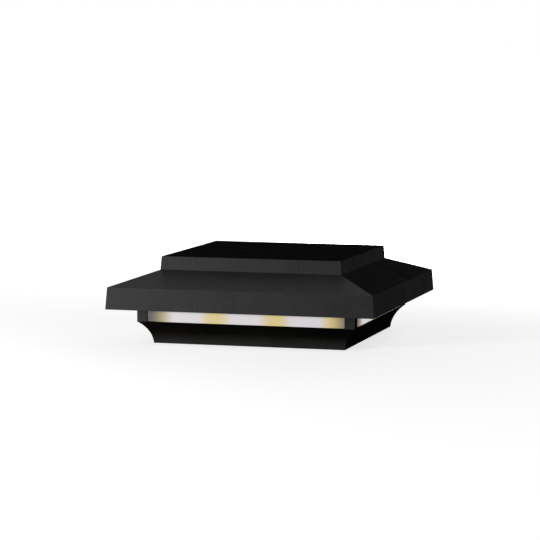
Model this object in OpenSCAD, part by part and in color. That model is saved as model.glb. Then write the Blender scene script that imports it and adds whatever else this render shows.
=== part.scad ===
// Deck post cap light: a cast cap on a base moulding that slips over a square post, with a
// frosted light window on each of its four sides. Millimetres, +Z up. The origin is the middle
// of the lip's underside, and the front window faces -Y.

/* [Post] */
// Outside width of the square post that the cap fits
post_w = 101.6; // [99:0.1:104]
// Gap between the post and the socket, on each side
post_gap = 1.5; // [1:0.1:2]

/* [Base moulding] */
// Wall of the collar around the post
collar_wall = 2.8; // [2.6:0.1:3]
// Wall of the lip at its lower edge
lip_wall = 3.8; // [3.5:0.1:4.2]
// Height of the hollow cove, from the lip to the window sill
cove_h = 12.8; // [12:0.1:14]
// How far the cove flares out over its height
cove_run = 7.5; // [7.2:0.1:8]
// Radius of the cove
cove_radius = 17.1; // [16:0.1:20]
// Thickness of the flange that closes the brim from below
flange_t = 2.5; // [2.3:0.1:3]

/* [Deck plate] */
// Thickness of the plate that closes the collar and lands on the post's end
deck_t = 2.6; // [2.2:0.1:3.2]
// Radius of the ears at the plate's corners
ear_r = 3.2; // [3:0.1:3.3]
// How far the ears' middles stand out past the collar, along X and along Y
ear_out = 0.9; // [0.6:0.1:1.2]
// Radius of the deck screws
deck_screw_r = 1.25; // [1:0.05:1.4]
// Length of the deck screws under their heads
deck_screw_len = 6; // [5:0.1:6.2]
// Radius of the deck screws' heads
deck_head_r = 2.3; // [2.1:0.1:2.6]
// Height of the deck screws' heads
deck_head_h = 1.5; // [1.2:0.1:1.8]

/* [Light windows] */
// Height of each window
window_h = 8.6; // [8:0.1:9.4]
// Width of the dark corner posts beside each window
corner_post_w = 5.8; // [5.6:0.1:8]
// Wall of the window frame
frame_wall = 3; // [2.8:0.1:3.2]
// Height of the bar over each window, up to the flange
header_h = 1.4; // [1.2:0.1:2]
// How far lens and seal reach past the window above and below
lens_lap = 0.6; // [0.4:0.1:0.8]
// Depth of the shelf behind the sill that the lens stands over
sill_drop = 0.8; // [0.7:0.1:0.9]
// Thickness of the foam seal behind the frame
seal_t = 0.6; // [0.4:0.1:0.8]
// Thickness of the lens flange behind the seal
lens_flange_t = 1.4; // [1.2:0.1:1.6]
// Thickness of the frosted face of the lens
lens_face_t = 2; // [1.6:0.1:2.4]
// How far the lens face lies behind the face of its frame
lens_recess = 0.5; // [0.3:0.1:1]
// Gap around the lens in its window
lens_gap = 0.2; // [0.1:0.05:0.3]
// Border of the lens left thick around its hollow back
lens_border = 1.6; // [1.2:0.1:2]

/* [Top cap] */
// Wall of the top cap
cap_wall = 2.6; // [2.4:0.1:3]
// How far the brim's lower edge stands out from the window frame
brim_reach = 14.15; // [13.8:0.05:16]
// Height of the brim's upright face
brim_h = 12.5; // [11.6:0.1:14]
// How much the brim's face leans in over its height
brim_draft = 0.85; // [0.3:0.05:1]
// How far the brim hangs below the flange, as a drip edge
drip_h = 2; // [1.4:0.1:2.6]
// Width of the sloping roof, from brim to crown
slope_run = 23.8; // [22.8:0.1:24.6]
// Height of the sloping roof
slope_rise = 8.5; // [8:0.1:10]
// Height of the crown's upright wall
crown_h = 7.6; // [7:0.1:10]
// How much the crown's wall leans in over its height
crown_draft = 0.5; // [0.2:0.05:0.8]
// Gap between the flange and the inside of the brim
brim_gap = 0.5; // [0.3:0.05:0.6]
// Thickness of the two stiffening ribs under the crown
rib_t = 1.8; // [1.4:0.1:2.4]
// Depth of the stiffening ribs
rib_h = 1.4; // [1:0.1:1.6]

/* [Weather seal] */
// Width of the seal ring between flange and top cap
seal_w = 2.6; // [2.2:0.1:2.8]
// Height of the seal ring
seal_h = 2; // [1.8:0.1:2.2]
// Depth of the groove that holds the seal ring
groove_depth = 1; // [0.8:0.1:1.2]
// Gap on each side of the seal ring in its groove
groove_gap = 0.1; // [0.05:0.05:0.15]
// Edge left between the groove and the outside of the flange
groove_edge = 0.95; // [0.9:0.05:1.1]
// Width of the rib that presses on the seal ring
press_rib_w = 1.8; // [1.4:0.1:2]

/* [Cap screws] */
// Radius of the four screws that hold the top cap
cap_screw_r = 1.75; // [1.5:0.05:1.8]
// Length of the cap screws under their heads
cap_screw_len = 7.5; // [6:0.1:8]
// Radius of the cap screws' heads
cap_head_r = 3.5; // [3.2:0.1:3.6]
// Height of the cap screws' heads
cap_head_h = 2.2; // [2:0.1:2.4]
// Depth of the recess for each head in the flange
head_recess = 1; // [0.8:0.1:1.2]
// Radius of the bosses that take the cap screws
boss_r = 3.8; // [3.6:0.05:3.9]
// Gap between these bosses and the groove of the seal ring
boss_gap = 0.4; // [0.3:0.1:0.5]
// Radius of the retaining washers that keep the screws in the flange
retainer_r = 2.8; // [2.5:0.05:2.9]
// Thickness of the retaining washers
retainer_t = 0.8; // [0.6:0.1:1]

/* [LED boards] */
// Thickness of the thermal pads between boards and collar
pad_t = 0.5; // [0.3:0.1:0.6]
// Thickness of the LED boards
board_t = 1.6; // [1.4:0.1:1.6]
// Height of the LED boards
board_h = 9; // [8.6:0.1:9]
// Length left free at each end of an LED board, back from the collar's corner
board_end = 3.1; // [2.9:0.1:5]
// Distance of the outer LEDs from the ends of their board
led_inset = 17; // [16:0.5:20]
// Width of an LED
led_w = 3.5; // [2.8:0.1:4]
// Height of an LED
led_h = 2.8; // [2.4:0.1:3.2]
// How far an LED stands off its board
led_t = 1.3; // [1:0.1:1.3]
// Radius of the yellow window in each LED
led_window_r = 1.2; // [1:0.05:1.3]
// Distance of the board screws from the ends of their board
board_screw_inset = 8; // [7:0.1:10]
// Radius of the board screws
board_screw_r = 1; // [0.8:0.05:1.1]
// Length of the board screws under their heads
board_screw_len = 4; // [3.7:0.1:4.1]
// Radius of the board screws' heads
board_head_r = 1.9; // [1.7:0.05:2]
// Height of the board screws' heads
board_head_h = 1.2; // [1:0.1:1.3]

/* [Wires] */
// Radius of the insulated wires
wire_r = 0.6; // [0.5:0.02:0.62]
// Distance between the two wires of a pair
wire_pitch = 3.6; // [3:0.1:4]
// Length of the solder lands that the wires end in
land_l = 1.5; // [1.2:0.1:2]
// Width of the solder lands
land_w = 1.4; // [1.3:0.1:2]
// Height of the solder lands
land_t = 1.25; // [1.2:0.05:1.3]
// Distance of the solder lands' outer faces from the ends of an LED board
land_inset = 2; // [1:0.1:2.4]
// Place of the feed wires along the rear board
feed_at = 16; // [10:0.5:20]
// Bend radius of the feed wires where they turn down
feed_bend = 4; // [3:0.1:4.5]

/* [Driver] */
// Width of the driver board
driver_w = 60; // [56:1:64]
// Depth of the driver board
driver_d = 32; // [30:1:34]
// Thickness of the driver board
driver_t = 1.6; // [1.2:0.1:1.8]
// Free height between the tallest piece on the driver board and the ribs over it
head_room = 2.4; // [1.6:0.1:3]
// Gap between the lead's grommet and the driver board
driver_gap = 3.4; // [3:0.1:4.4]
// Height of the hexagonal standoffs under the driver board
standoff_h = 3; // [2.6:0.1:3.4]
// Radius of the standoffs, over their corners
standoff_r = 2.9; // [2.8:0.1:3.2]
// Radius of the shanks that press the standoffs into the deck plate
shank_r = 1.9; // [1.8:0.05:2]
// Depth of those shanks
shank_h = 1.6; // [1.4:0.1:2]
// Distance of the driver screws from the board's edges
driver_screw_inset = 3.5; // [3.2:0.1:4]
// Radius of the driver screws
driver_screw_r = 1.25; // [1:0.05:1.3]
// Radius of the driver screws' heads
driver_head_r = 2.3; // [2.1:0.1:2.5]
// Height of the driver screws' heads
driver_head_h = 1.5; // [1.2:0.1:1.8]
// Radius of the two capacitors
capacitor_r = 4; // [3.5:0.1:4.4]
// Height of the two capacitors
capacitor_h = 8; // [6:0.1:8.4]
// Radius of the inductor
inductor_r = 5; // [4:0.1:5.5]
// Height of the inductor
inductor_h = 5.5; // [4:0.1:7]
// Width of the bridge rectifier
rectifier_w = 8.4; // [7:0.1:9]
// Depth of the bridge rectifier
rectifier_d = 6.4; // [5.5:0.1:7]
// Height of the bridge rectifier's body
rectifier_h = 3.2; // [2.6:0.1:4]
// Length of the driver chip's body
chip_l = 4.9; // [4:0.1:5.5]
// Width of the driver chip's body
chip_w = 3.9; // [3.4:0.1:4.4]
// Height of the driver chip's body
chip_h = 1.5; // [1.2:0.1:2]
// Distance between the two poles of the terminal block
terminal_pitch = 5; // [4.8:0.1:5.4]
// Depth of the terminal block
terminal_d = 8; // [7:0.1:9]
// Height of the terminal block
terminal_h = 8.4; // [7:0.1:8.6]

/* [Lead inlet] */
// Radius of the hole in the grommet that the lead passes
inlet_r = 3.2; // [2.4:0.1:3.6]
// Radius of the grommet's waist
grommet_waist_r = 6.5; // [5.6:0.1:6.8]
// Radius of the grommet's flanges
grommet_r = 8.6; // [8:0.1:8.8]
// Thickness of the grommet's flanges
grommet_flange_t = 1.8; // [1.4:0.1:2]
// Thickness of the deck where the grommet grips it
grip_t = 2.4; // [2:0.1:3]

/* [Post screws] */
// Distance of the post screws' holes from the outside of the post
post_hole_inset = 12.8; // [12:0.1:15]
// Radius of those holes
post_hole_r = 2.25; // [2:0.05:2.6]

/* [Hidden] */
$fn = 48;
over = 1;             // how far a cutting shape runs past what it cuts
screw_clear = 0.05;   // radial clearance of a screw in the hole that it bites
pass_clear = 0.2;     // radial clearance of a screw in a hole that it only passes
tip_room = 0.8;       // free depth past a screw's tip
wire_lift = 0.05;     // gap between a wire and the board under it
shelf_gap = 0.2;      // gap between the lens and the shelf that it stands over
land_edge = 0.5;      // distance of the feed wires' lands from the driver board's edge
capacitor_inset = [12, 14]; // from the driver board's right and front edges
inductor_inset = [15, 12];  // from the board's left and front edges
rectifier_inset = [-3, 7.5]; // from the board's middle and its rear edge
chip_inset = [9, 7];        // from the board's middle and its rear edge
sides = [0, 1, 2, 3]; // front, right, rear and left, as quarter turns about +Z
corners = [[-1, -1], [1, -1], [1, 1], [-1, 1]];

// Half widths of the square rings, measured from the axis
socket_half = post_w / 2 + post_gap;
collar_half = socket_half + collar_wall;
lip_half = socket_half + lip_wall;
ear_at = collar_half + ear_out;
post_hole_pitch = post_w - 2 * post_hole_inset;
frame_half = lip_half + cove_run;
frame_back = frame_half - frame_wall;
lens_back = frame_back - seal_t - lens_flange_t;
brim_half = frame_half + brim_reach;
brim_top_half = brim_half - brim_draft;
crown_half = brim_top_half - slope_run;
crown_top_half = crown_half - crown_draft;
flange_half = brim_half - cap_wall - brim_gap - brim_draft / brim_h * (drip_h + flange_t);
groove_out = flange_half - groove_edge;
groove_in = groove_out - seal_w - 2 * groove_gap;
seal_mid = (groove_out + groove_in) / 2;
cap_screw_at = groove_in - boss_gap - boss_r;

// Heights
sill_z = cove_h;
shelf_z = sill_z - sill_drop;
window_top = sill_z + window_h;
window_mid = sill_z + window_h / 2;
soffit_z = window_top + header_h;
flange_top = soffit_z + flange_t;
brim_z = soffit_z - drip_h;
brim_top_z = brim_z + brim_h;
crown_z = brim_top_z + slope_rise;
top_z = crown_z + crown_h;
driver_stack = standoff_h + driver_t + max(terminal_h, capacitor_h, inductor_h);
deck_top = top_z - cap_wall - rib_h - head_room - driver_stack;
deck_z = deck_top - deck_t;
ear_low = window_top + lens_lap + 2 * shelf_gap;
seal_top = flange_top - groove_depth + seal_h;
driver_z = deck_top + standoff_h;
driver_top = driver_z + driver_t;

// Lens, LED board and wire places on one side
window_half = frame_half - corner_post_w;
lens_flange_half = lens_back - shelf_gap;
lens_foot = sill_z - lens_lap;
lens_head = window_top + lens_lap;
board_back = collar_half + pad_t;
board_face = board_back + board_t;
board_half = collar_half - board_end;
board_screw_at = board_half - board_screw_inset;
led_pitch = board_half - led_inset;
board_low = window_mid - board_h / 2;
wire_at = board_face + wire_lift + wire_r;
jumper_bend = wire_at - board_half;
feed_z = driver_top + wire_lift + wire_r;
led_window_depth = 0.2;

// Centre of the cove's arc, out and up from the lip's lower edge
cove_chord = norm([cove_run, cove_h]);
cove_sag = sqrt(pow(cove_radius, 2) - pow(cove_chord / 2, 2));
cove_out = cove_run / 2 + cove_sag * cove_h / cove_chord;
cove_up = cove_h / 2 - cove_sag * cove_run / cove_chord;

// Driver board layout, from its front and rear edges
driver_front = grommet_r + driver_gap;
driver_rear = driver_front + driver_d;
driver_at = (driver_front + driver_rear) / 2;
driver_hole_x = driver_w / 2 - driver_screw_inset;
driver_hole_y = driver_d / 2 - driver_screw_inset;
driver_screw_depth = 3.6;
feed_start = driver_rear - land_edge;
terminal_w = 2 * terminal_pitch;
terminal_at = driver_front + terminal_d / 2 + land_edge;
capacitor_at = [driver_w / 2 - capacitor_inset[0], driver_front + capacitor_inset[1]];
inductor_at = [-driver_w / 2 + inductor_inset[0], driver_front + inductor_inset[1]];
rectifier_at = [rectifier_inset[0], driver_rear - rectifier_inset[1]];
chip_at = [chip_inset[0], driver_rear - chip_inset[1]];
terminal_hole_r = 1.9;
terminal_mouth = 3;
terminal_screw_r = 1.7;
terminal_screw_h = 2;
terminal_well = 4;
leg_t = 0.4;
leg_w = 0.5;
vent_groove = 0.4;

// A block centred on the axis, from height low up to high
module square_block(half, low, high) {
    translate([-half, -half, low]) cube([2 * half, 2 * half, high - low]);
}

// A square ring centred on the axis
module square_ring(outer, inner, low, high) {
    difference() {
        square_block(outer, low, high);
        square_block(inner, low - over, high + over);
    }
}

// A plate on the front side, between two distances from the axis
module side_plate(half_length, near, far, low, high) {
    translate([-half_length, -far, low])
        cube([2 * half_length, far - near, high - low]);
}

// Places its children on one of the four sides
module on_side(side) {
    rotate([0, 0, 90 * side]) children();
}

// Places its children at the four corners of a square
module at_corners(reach) {
    for (c = corners) translate([c[0] * reach, c[1] * reach, 0]) children();
}

// A square solid whose half width follows a list of [half width, height] points
module stepped_square(points) {
    reach = 2 * brim_half;
    mirrored = [for (i = [len(points) - 1:-1:0]) [-points[i][0], points[i][1]]];
    intersection_for(turn = [0, 90])
        rotate([0, 0, turn]) rotate([90, 0, 0])
            linear_extrude(reach, center = true)
                polygon(concat(points, mirrored));
}

// Places its children at the driver board's four holes
module at_driver_holes() {
    for (x = [-1, 1], y = [-1, 1])
        translate([x * driver_hole_x, driver_at + y * driver_hole_y, 0]) children();
}

// A screw with its head's bearing face at z = 0, its shank up +Z and a cross recess
module pan_screw(r, length, head_r, head_h) {
    recess_l = head_r * 1.1;
    recess_w = head_r * 0.28;
    difference() {
        union() {
            translate([0, 0, -head_h]) cylinder(r = head_r, h = head_h);
            cylinder(r = r, h = length);
        }
        for (turn = [0, 90])
            rotate([0, 0, turn])
                translate([-recess_l / 2, -recess_w / 2, -head_h - over])
                    cube([recess_l, recess_w, over + head_h / 2]);
    }
}

// A cylinder that points out of the front side, from one distance to another
module side_pin(x, z, r, near, far) {
    translate([x, -near, z]) rotate([90, 0, 0]) cylinder(r = r, h = far - near);
}

module base_casting() {
    color("#1c1c1d")
    difference() {
        union() {
            // Lip and cove, up to the shelf and the sill
            difference() {
                square_block(frame_half, 0, sill_z);
                for (side = sides) on_side(side)
                    translate([0, -lip_half - cove_out, cove_up])
                        rotate([0, 90, 0])
                            cylinder(r = cove_radius, h = 4 * frame_half, center = true, $fn = 96);
                square_block(frame_back, shelf_z, sill_z + over);
            }
            // Window frame and the flange around it
            square_ring(frame_half, frame_back, sill_z, flange_top);
            square_ring(flange_half, frame_back, soffit_z, flange_top);
            // Collar around the post, with a boss at each corner for the deck plate
            square_block(collar_half, 0, deck_z);
            at_corners(ear_at) translate([0, 0, ear_low]) cylinder(r = ear_r, h = deck_z - ear_low);
        }
        // Post socket
        square_block(socket_half, -over, deck_z + over);
        at_corners(ear_at) translate([0, 0, deck_top - deck_screw_len - tip_room / 2])
            cylinder(r = deck_screw_r + screw_clear, h = deck_screw_len);
        // Windows, and the holes for the board screws
        for (side = sides) on_side(side) {
            side_plate(window_half, frame_back - over, frame_half + over, sill_z, window_top);
            for (x = [-board_screw_at, board_screw_at])
                side_pin(x, window_mid, board_screw_r + screw_clear,
                    board_face - board_screw_len - tip_room / 4, collar_half + over);
        }
        // Groove for the seal ring
        square_ring(groove_out, groove_in, flange_top - groove_depth, flange_top + over);
        // Holes and head recesses for the cap screws
        at_corners(cap_screw_at) {
            translate([0, 0, soffit_z - over])
                cylinder(r = cap_screw_r + pass_clear, h = flange_t + 2 * over);
            translate([0, 0, soffit_z - over])
                cylinder(r = cap_head_r + pass_clear, h = head_recess + over);
        }
    }
}

// Plate on top of the collar, with a raised middle that the lead's grommet sits in
module deck_plate() {
    grip_z = deck_z + grommet_flange_t;
    hole = deck_t + 2 * over;
    color("#b4b8bb")
    difference() {
        union() {
            square_block(collar_half, deck_z, deck_top);
            at_corners(ear_at) translate([0, 0, deck_z]) cylinder(r = ear_r, h = deck_t);
            translate([0, 0, deck_z]) cylinder(r = grommet_r + 2, h = grommet_flange_t + grip_t);
        }
        translate([0, 0, deck_z - over])
            cylinder(r = grommet_r + pass_clear, h = grommet_flange_t + over);
        translate([0, 0, deck_z]) cylinder(r = grommet_waist_r, h = grip_z + grip_t);
        at_corners(post_hole_pitch / 2)
            translate([0, 0, deck_z - over]) cylinder(r = post_hole_r, h = hole);
        at_corners(ear_at)
            translate([0, 0, deck_z - over]) cylinder(r = deck_screw_r + pass_clear, h = hole);
        at_driver_holes()
            translate([0, 0, deck_z - over]) cylinder(r = shank_r, h = hole);
    }
}

module deck_screws() {
    color("#c5c8cb")
    at_corners(ear_at) translate([0, 0, deck_top]) rotate([180, 0, 0])
        pan_screw(deck_screw_r, deck_screw_len, deck_head_r, deck_head_h);
}

// Hexagonal standoffs, pressed into the deck plate by their shanks
module standoffs() {
    shank_clear = 0.05;
    color("#d0c7a8")
    at_driver_holes() translate([0, 0, deck_top]) difference() {
        union() {
            cylinder(r = standoff_r, h = standoff_h, $fn = 6);
            translate([0, 0, -shank_h]) cylinder(r = shank_r - shank_clear, h = shank_h + standoff_h / 2);
        }
        translate([0, 0, standoff_h - driver_screw_depth - tip_room / 4])
            cylinder(r = driver_screw_r + screw_clear, h = driver_screw_depth + over);
    }
}

module top_cap() {
    outside = [
        [brim_half, brim_z], [brim_top_half, brim_top_z],
        [crown_half, crown_z], [crown_top_half, top_z],
    ];
    inside = [
        [brim_half - cap_wall + brim_draft / brim_h * over, brim_z - over],
        [brim_top_half - cap_wall, brim_top_z - cap_wall],
        [crown_half - cap_wall, crown_z - cap_wall],
        [crown_top_half - cap_wall, top_z - cap_wall],
    ];
    screw_tip = soffit_z + head_recess + cap_screw_len;
    boss_roof = 1.4;
    color("#161617")
    union() {
        difference() {
            stepped_square(outside);
            stepped_square(inside);
        }
        intersection() {
            stepped_square(outside);
            union() {
                // Rib that presses on the seal ring
                square_ring(seal_mid + press_rib_w / 2, seal_mid - press_rib_w / 2, seal_top, brim_top_z);
                // Crossed ribs under the crown
                for (turn = [0, 90]) rotate([0, 0, turn])
                    translate([-crown_top_half, -rib_t / 2, top_z - cap_wall - rib_h])
                        cube([2 * crown_top_half, rib_t, rib_h + cap_wall / 2]);
                // Bosses that take the cap screws
                at_corners(cap_screw_at) difference() {
                    translate([0, 0, flange_top])
                        cylinder(r = boss_r, h = screw_tip + tip_room + boss_roof - flange_top);
                    translate([0, 0, flange_top - over])
                        cylinder(r = cap_screw_r + screw_clear, h = screw_tip + tip_room - flange_top + over);
                    translate([0, 0, flange_top - over])
                        cylinder(r = retainer_r + pass_clear, h = retainer_t + pass_clear + over);
                }
            }
        }
    }
}

module lid_seal() {
    color("#3b3b3d")
    square_ring(seal_mid + seal_w / 2, seal_mid - seal_w / 2, flange_top - groove_depth, seal_top);
}

module cap_screws() {
    color("#b9bcc0")
    at_corners(cap_screw_at)
        translate([0, 0, soffit_z + head_recess])
            pan_screw(cap_screw_r, cap_screw_len, cap_head_r, cap_head_h);
}

module screw_retainers() {
    color("#e7e4da")
    at_corners(cap_screw_at)
        translate([0, 0, flange_top]) difference() {
            cylinder(r = retainer_r, h = retainer_t);
            translate([0, 0, -over]) cylinder(r = cap_screw_r + screw_clear, h = retainer_t + 2 * over);
        }
}

// A frosted lens: a face in the window, and a flange that laps the frame from behind
module lens() {
    face_half = window_half - lens_gap;
    face_at = frame_half - lens_recess;
    hollow_half = face_half - lens_border;
    color("#f4efe0")
    difference() {
        union() {
            side_plate(lens_flange_half, lens_back, lens_back + lens_flange_t, lens_foot, lens_head);
            side_plate(face_half, lens_back + lens_flange_t / 2, face_at,
                sill_z + lens_gap, window_top - lens_gap);
        }
        side_plate(hollow_half, lens_back - over, face_at - lens_face_t,
            sill_z + lens_gap + lens_border, window_top - lens_gap - lens_border);
    }
}

module lens_seal() {
    color("#2a2a2b")
    difference() {
        side_plate(lens_flange_half, frame_back - seal_t, frame_back, lens_foot, lens_head);
        side_plate(window_half, frame_back - seal_t - over, frame_back + over, sill_z, window_top);
    }
}

module thermal_pad() {
    color("#8f9aa6")
    difference() {
        side_plate(board_half, collar_half, board_back, board_low, board_low + board_h);
        for (x = [-board_screw_at, board_screw_at])
            side_pin(x, window_mid, board_screw_r + pass_clear, collar_half - over, board_back + over);
    }
}

// A metal-core board with the solder lands that its wires end in
module led_board(fed) {
    color("#f1f1ec")
    difference() {
        union() {
            side_plate(board_half, board_back, board_face, board_low, board_low + board_h);
            for (end = [-1, 1], row = [-1, 1])
                translate([
                    end * (board_half - land_inset - land_l / 2) - land_l / 2,
                    -board_face - land_t, window_mid + row * wire_pitch / 2 - land_w / 2,
                ])
                    cube([land_l, land_t + board_t / 2, land_w]);
            if (fed) for (row = [-1, 1])
                translate([
                    feed_at + row * wire_pitch / 2 - land_w / 2,
                    -board_face - land_t, window_mid,
                ])
                    cube([land_w, land_t + board_t / 2, land_l]);
        }
        for (x = [-board_screw_at, board_screw_at])
            side_pin(x, window_mid, board_screw_r + pass_clear, board_back - over, board_face + over);
    }
}

module leds() {
    color("#f6e7a0")
    for (i = [-1:1]) translate([i * led_pitch, 0, 0]) difference() {
        side_plate(led_w / 2, board_face, board_face + led_t, window_mid - led_h / 2, window_mid + led_h / 2);
        side_pin(0, window_mid, led_window_r,
            board_face + led_t - led_window_depth, board_face + led_t + over);
    }
}

module board_screws() {
    color("#c5c8cb")
    for (side = sides, x = [-board_screw_at, board_screw_at]) on_side(side)
        translate([x, -board_face, window_mid])
            rotate([-90, 0, 0])
                pan_screw(board_screw_r, board_screw_len, board_head_r, board_head_h);
}

// Two wires from the right end of one board, round the corner, to the next board
module jumper() {
    run = land_inset;
    for (row = [-1, 1]) color(row > 0 ? "#b3261e" : "#202022")
        translate([board_half, -board_half, window_mid + row * wire_pitch / 2]) {
            rotate([0, 0, -90]) rotate_extrude(angle = 90)
                translate([jumper_bend, 0]) circle(r = wire_r, $fn = 24);
            translate([-run, -jumper_bend, 0]) rotate([0, 90, 0]) cylinder(r = wire_r, h = run, $fn = 24);
            translate([jumper_bend, 0, 0]) rotate([-90, 0, 0]) cylinder(r = wire_r, h = run, $fn = 24);
        }
}

// Two wires from the driver board over the deck's rear edge, down to the rear board
module feed_wires() {
    land_top = window_mid + land_l;
    on_side(2) for (row = [-1, 1]) color(row > 0 ? "#b3261e" : "#202022")
        translate([feed_at + row * wire_pitch / 2, 0, 0]) {
            translate([0, -feed_start, feed_z]) rotate([90, 0, 0])
                cylinder(r = wire_r, h = wire_at - feed_bend - feed_start, $fn = 24);
            translate([0, -wire_at + feed_bend, feed_z - feed_bend])
                rotate([90, 0, -90]) rotate_extrude(angle = 90)
                    translate([feed_bend, 0]) circle(r = wire_r, $fn = 24);
            translate([0, -wire_at, land_top])
                cylinder(r = wire_r, h = feed_z - feed_bend - land_top, $fn = 24);
        }
}

module driver_board() {
    color("#1f5b38")
    difference() {
        union() {
            translate([-driver_w / 2, driver_at - driver_d / 2, driver_z])
                cube([driver_w, driver_d, driver_t]);
            // Solder lands of the feed wires
            for (row = [-1, 1])
                translate([
                    -feed_at - row * wire_pitch / 2 - land_w / 2,
                    feed_start - land_l, driver_z + driver_t / 2,
                ])
                    cube([land_w, land_l, land_t + driver_t / 2]);
        }
        at_driver_holes() translate([0, 0, driver_z - over])
            cylinder(r = driver_screw_r + pass_clear, h = driver_t + 2 * over);
    }
}

module driver_screws() {
    color("#c5c8cb")
    at_driver_holes() translate([0, 0, driver_top]) rotate([180, 0, 0])
        pan_screw(driver_screw_r, driver_t + driver_screw_depth, driver_head_r, driver_head_h);
}

// Round sleeved capacitor with a dished top
module capacitor() {
    difference() {
        cylinder(r = capacitor_r, h = capacitor_h);
        translate([0, 0, capacitor_h - 0.3]) cylinder(r = capacitor_r - 0.6, h = over);
        for (turn = [0, 90]) rotate([0, 0, turn])
            translate([-capacitor_r * 0.7, -vent_groove / 2, capacitor_h - 0.6])
                cube([capacitor_r * 1.4, vent_groove, over]);
    }
}

module capacitors() {
    color("#23314f")
    for (i = [0, 1])
        translate([capacitor_at[0] - i * (2 * capacitor_r + 1), capacitor_at[1], driver_top]) capacitor();
}

module inductor() {
    color("#3a3a3c")
    translate([inductor_at[0], inductor_at[1], driver_top])
        difference() {
            cylinder(r = inductor_r, h = inductor_h);
            translate([0, 0, inductor_h / 4]) difference() {
                cylinder(r = inductor_r + over, h = inductor_h / 2);
                translate([0, 0, -over]) cylinder(r = inductor_r - 0.7, h = inductor_h);
            }
        }
}

// A moulded package with a row of bent legs along its two long sides
module legged_package(length, width, height, legs, pitch) {
    lift = 0.2;
    foot = 0.9;
    translate([-length / 2, -width / 2, lift]) cube([length, width, height]);
    for (i = [0:legs - 1], end = [-1, 1])
        translate([(i - (legs - 1) / 2) * pitch - leg_w / 2, end * width / 2, 0]) {
            translate([0, end > 0 ? -leg_t : -foot, 0]) cube([leg_w, foot + leg_t, leg_t]);
            translate([0, end > 0 ? -leg_t : 0, 0]) cube([leg_w, leg_t, height / 2 + lift]);
        }
}

module bridge_rectifier() {
    color("#1a1a1b")
    translate([rectifier_at[0], rectifier_at[1], driver_top])
        legged_package(rectifier_w, rectifier_d, rectifier_h, 2, 5);
}

module driver_chip() {
    color("#232324")
    translate([chip_at[0], chip_at[1], driver_top]) legged_package(chip_l, chip_w, chip_h, 4, 1.27);
}

// Two-pole terminal block, open towards the lead inlet
module terminal_block() {
    color("#2d6e45")
    translate([0, terminal_at, driver_top]) difference() {
        translate([-terminal_w / 2, -terminal_d / 2, 0]) cube([terminal_w, terminal_d, terminal_h]);
        for (pole = [-1, 1]) translate([pole * terminal_pitch / 2, 0, 0]) {
            translate([0, 0, terminal_h - terminal_well])
                cylinder(r = terminal_hole_r, h = terminal_well + over);
            translate([-terminal_mouth / 2, -terminal_d / 2 - over, 0.8])
                cube([terminal_mouth, terminal_d / 2 + over, terminal_mouth]);
        }
    }
}

module terminal_screws() {
    floor_z = driver_top + terminal_h - terminal_well;
    color("#c9b169")
    for (pole = [-1, 1]) translate([pole * terminal_pitch / 2, terminal_at, floor_z]) difference() {
        cylinder(r = terminal_screw_r, h = terminal_screw_h);
        translate([-terminal_screw_r, -leg_t, terminal_screw_h / 2])
            cube([2 * terminal_screw_r, 2 * leg_t, over + terminal_screw_h]);
    }
}

// Rubber grommet that lines the hole for the supply lead
module lead_grommet() {
    waist_gap = 0.1;
    grip_z = deck_z + grommet_flange_t;
    color("#29292a")
    difference() {
        union() {
            translate([0, 0, deck_z]) cylinder(r = grommet_r, h = grommet_flange_t);
            translate([0, 0, deck_z])
                cylinder(r = grommet_waist_r - waist_gap, h = 2 * grommet_flange_t + grip_t);
            translate([0, 0, grip_z + grip_t]) cylinder(r = grommet_r, h = grommet_flange_t);
        }
        translate([0, 0, deck_z - over])
            cylinder(r = inlet_r, h = 2 * (grommet_flange_t + over) + grip_t);
    }
}

base_casting();
deck_plate();
deck_screws();
top_cap();
lid_seal();
cap_screws();
screw_retainers();
on_side(0) lens();  // lens_front
on_side(1) lens();  // lens_right
on_side(2) lens();  // lens_rear
on_side(3) lens();  // lens_left
on_side(0) lens_seal();  // lens_seal_front
on_side(1) lens_seal();  // lens_seal_right
on_side(2) lens_seal();  // lens_seal_rear
on_side(3) lens_seal();  // lens_seal_left
on_side(0) thermal_pad();  // thermal_pad_front
on_side(1) thermal_pad();  // thermal_pad_right
on_side(2) thermal_pad();  // thermal_pad_rear
on_side(3) thermal_pad();  // thermal_pad_left
on_side(0) led_board(false);  // led_board_front
on_side(1) led_board(false);  // led_board_right
on_side(2) led_board(true);  // led_board_rear
on_side(3) led_board(false);  // led_board_left
on_side(0) leds();  // leds_front
on_side(1) leds();  // leds_right
on_side(2) leds();  // leds_rear
on_side(3) leds();  // leds_left
board_screws();
on_side(0) jumper();  // jumper_front_right
on_side(1) jumper();  // jumper_right_rear
on_side(3) jumper();  // jumper_left_front
standoffs();
driver_board();
driver_screws();
bridge_rectifier();
capacitors();
inductor();
driver_chip();
terminal_block();
terminal_screws();
feed_wires();
lead_grommet();
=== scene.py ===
"""Looks of a deck post cap light: a black powder-coated two-part casting with a lit band under its brim.

Lengths are millimetres in the part's frame: Z up, the front towards -Y, the lip's foot at 0.
"""

import math

import bmesh
import bpy
import numpy as np
from mathutils import Matrix, Vector


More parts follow.
